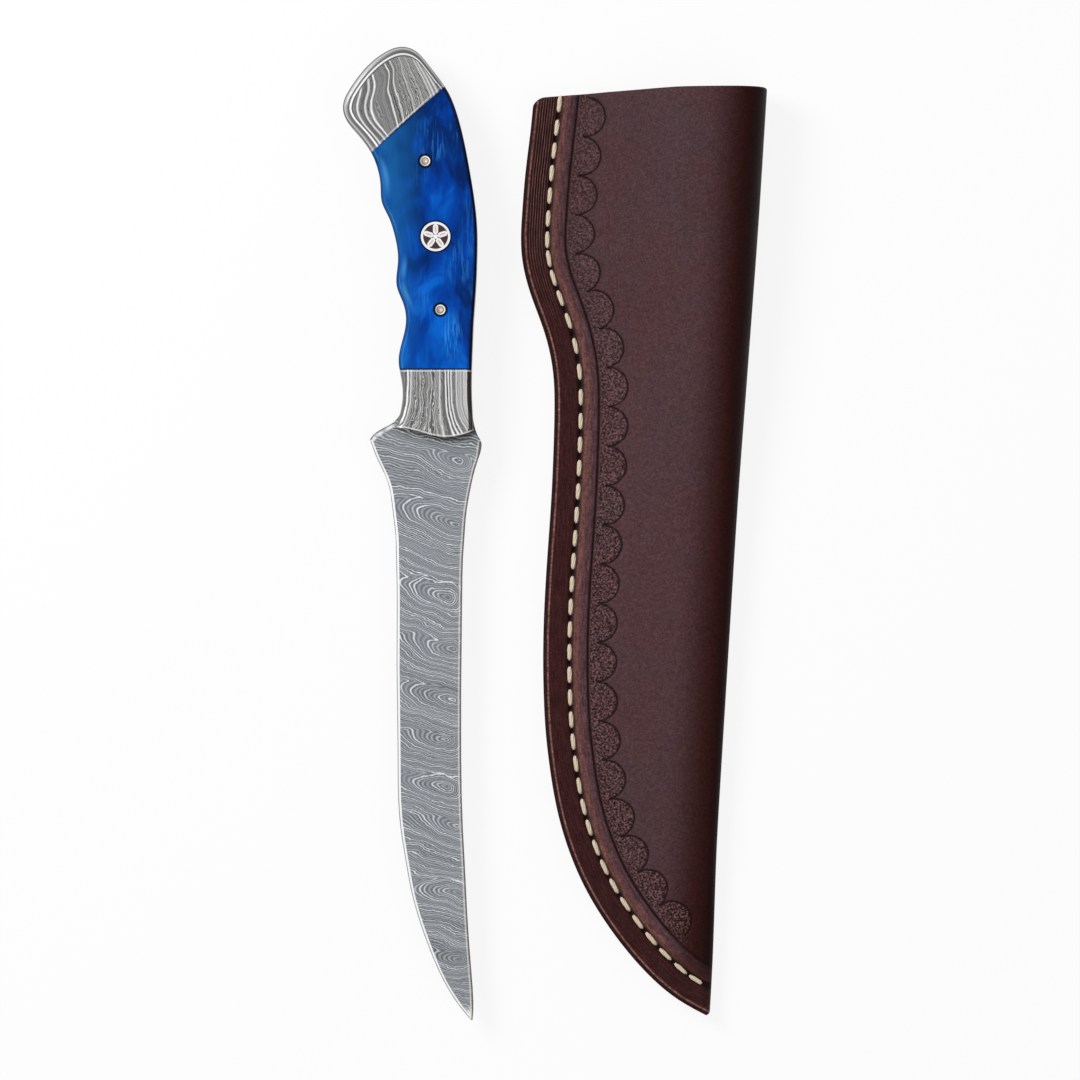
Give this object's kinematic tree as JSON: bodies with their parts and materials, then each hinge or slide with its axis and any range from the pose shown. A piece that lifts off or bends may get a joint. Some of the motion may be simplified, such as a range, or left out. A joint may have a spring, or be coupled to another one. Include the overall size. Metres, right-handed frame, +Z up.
{
  "type": "fillet knife with sheath",
  "caption": "Fillet knife with a slim layered-steel blade, full tang, steel bolsters and blue resin grip, lying beside its folded and stitched leather sheath.",
  "frame": {"origin": "middle of the whole layout, on the surface that the knife and the sheath lie on", "axes": "+Y from the point of the blade towards the butt of the handle and the mouth of the sheath, +X from the knife to the sheath, +Z up from the surface"},
  "size_m": [0.144, 0.3308, 0.0263],
  "materials": {
    "blade_steel": "acid-etched layered steel, satin, with a polished edge",
    "bolster_steel": "deep-etched layered steel with bright contour lines",
    "blue_resin": "polished pearl resin with clouds of darker and lighter blue",
    "pin_steel": "ground flush and polished",
    "pin_brass": "ground flush and polished",
    "dark_resin": "dark brown resin, ground flush",
    "brown_leather": "waxed dark brown leather with burnished edges",
    "cream_thread": "waxed cream thread"
  },
  "bodies": {
    "knife": {"blade": "blade_steel", "front_bolster_right": "bolster_steel", "front_bolster_left": "bolster_steel", "pommel_bolster_right": "bolster_steel", "pommel_bolster_left": "bolster_steel", "scale_right": "blue_resin", "scale_left": "blue_resin", "front_bolster_pins": "pin_steel", "pommel_bolster_pins": "pin_steel", "front_pin_tube": "pin_steel", "front_pin_core": "pin_brass", "rear_pin_tube": "pin_steel", "rear_pin_core": "pin_brass", "mosaic_pin_tube": "pin_steel", "mosaic_pin_rods": "pin_steel", "mosaic_pin_filler": "dark_resin"},
    "sheath": {"sheath_leather": "brown_leather", "sheath_welt": "brown_leather", "sheath_thread": "cream_thread"}
  },
  "joints": [
    {"name": "sheath_lift", "type": "slide", "parent": "knife", "child": "sheath", "axis": [0, 0, 1], "range_m": [0, 0.06]}
  ]
}
